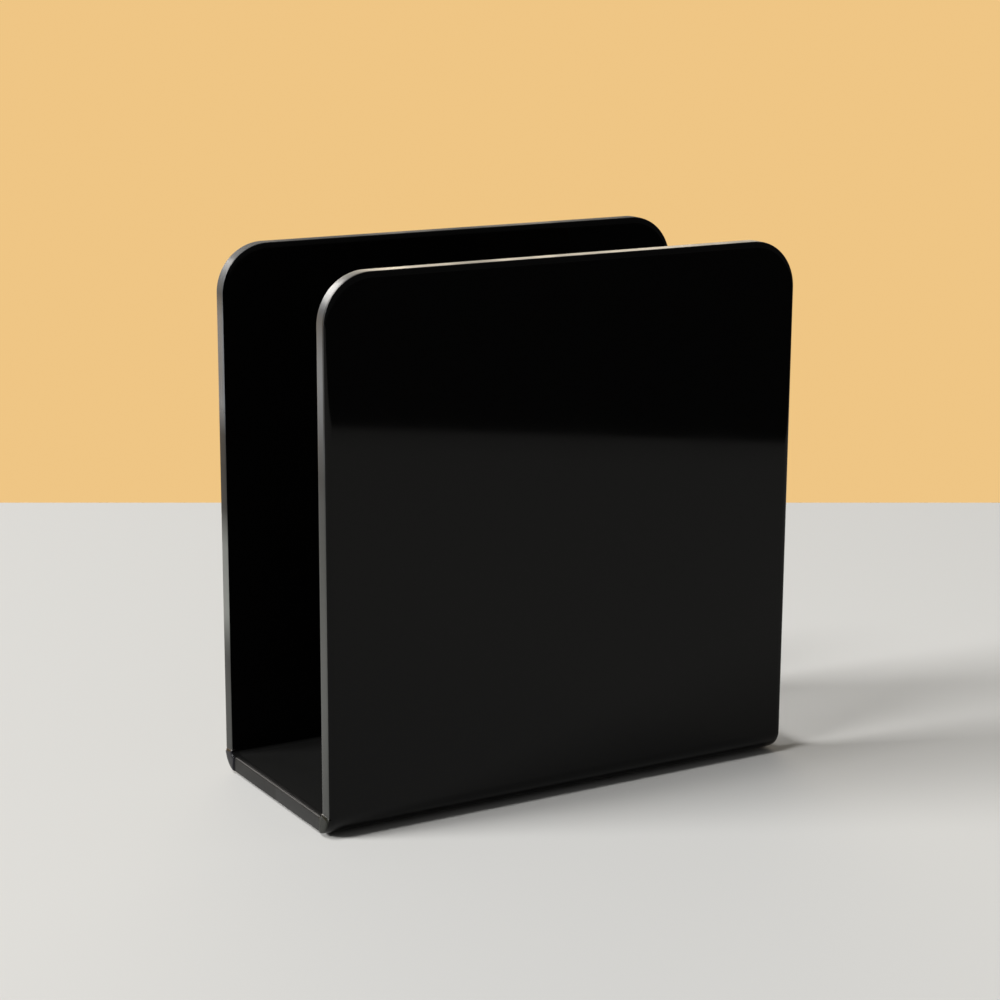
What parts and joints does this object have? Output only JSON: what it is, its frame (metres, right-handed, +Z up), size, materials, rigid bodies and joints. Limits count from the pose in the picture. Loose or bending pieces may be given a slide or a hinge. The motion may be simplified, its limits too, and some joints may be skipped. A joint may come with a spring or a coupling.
{
  "type": "napkin holder",
  "caption": "Upright napkin holder bent from a sheet of glossy black acrylic: panels rounded at the top corners, an open slot between them and a flat base on thin pads.",
  "frame": {"origin": "middle of the footprint, level with the undersides of the pads", "axes": "+X along the napkins to the right of the front panel, +Y from the front panel to the rear panel, +Z up"},
  "size_m": [0.1508, 0.0684, 0.1545],
  "materials": {
    "black_acrylic": "opaque black cast acrylic, faces polished to a mirror, cut edges scraped to a satin grey",
    "pad_rubber": "matt dark grey"
  },
  "bodies": {
    "root": {"bent_acrylic_sheet": "black_acrylic", "front_left_pad": "pad_rubber", "front_right_pad": "pad_rubber", "rear_left_pad": "pad_rubber", "rear_right_pad": "pad_rubber"}
  },
  "joints": []
}
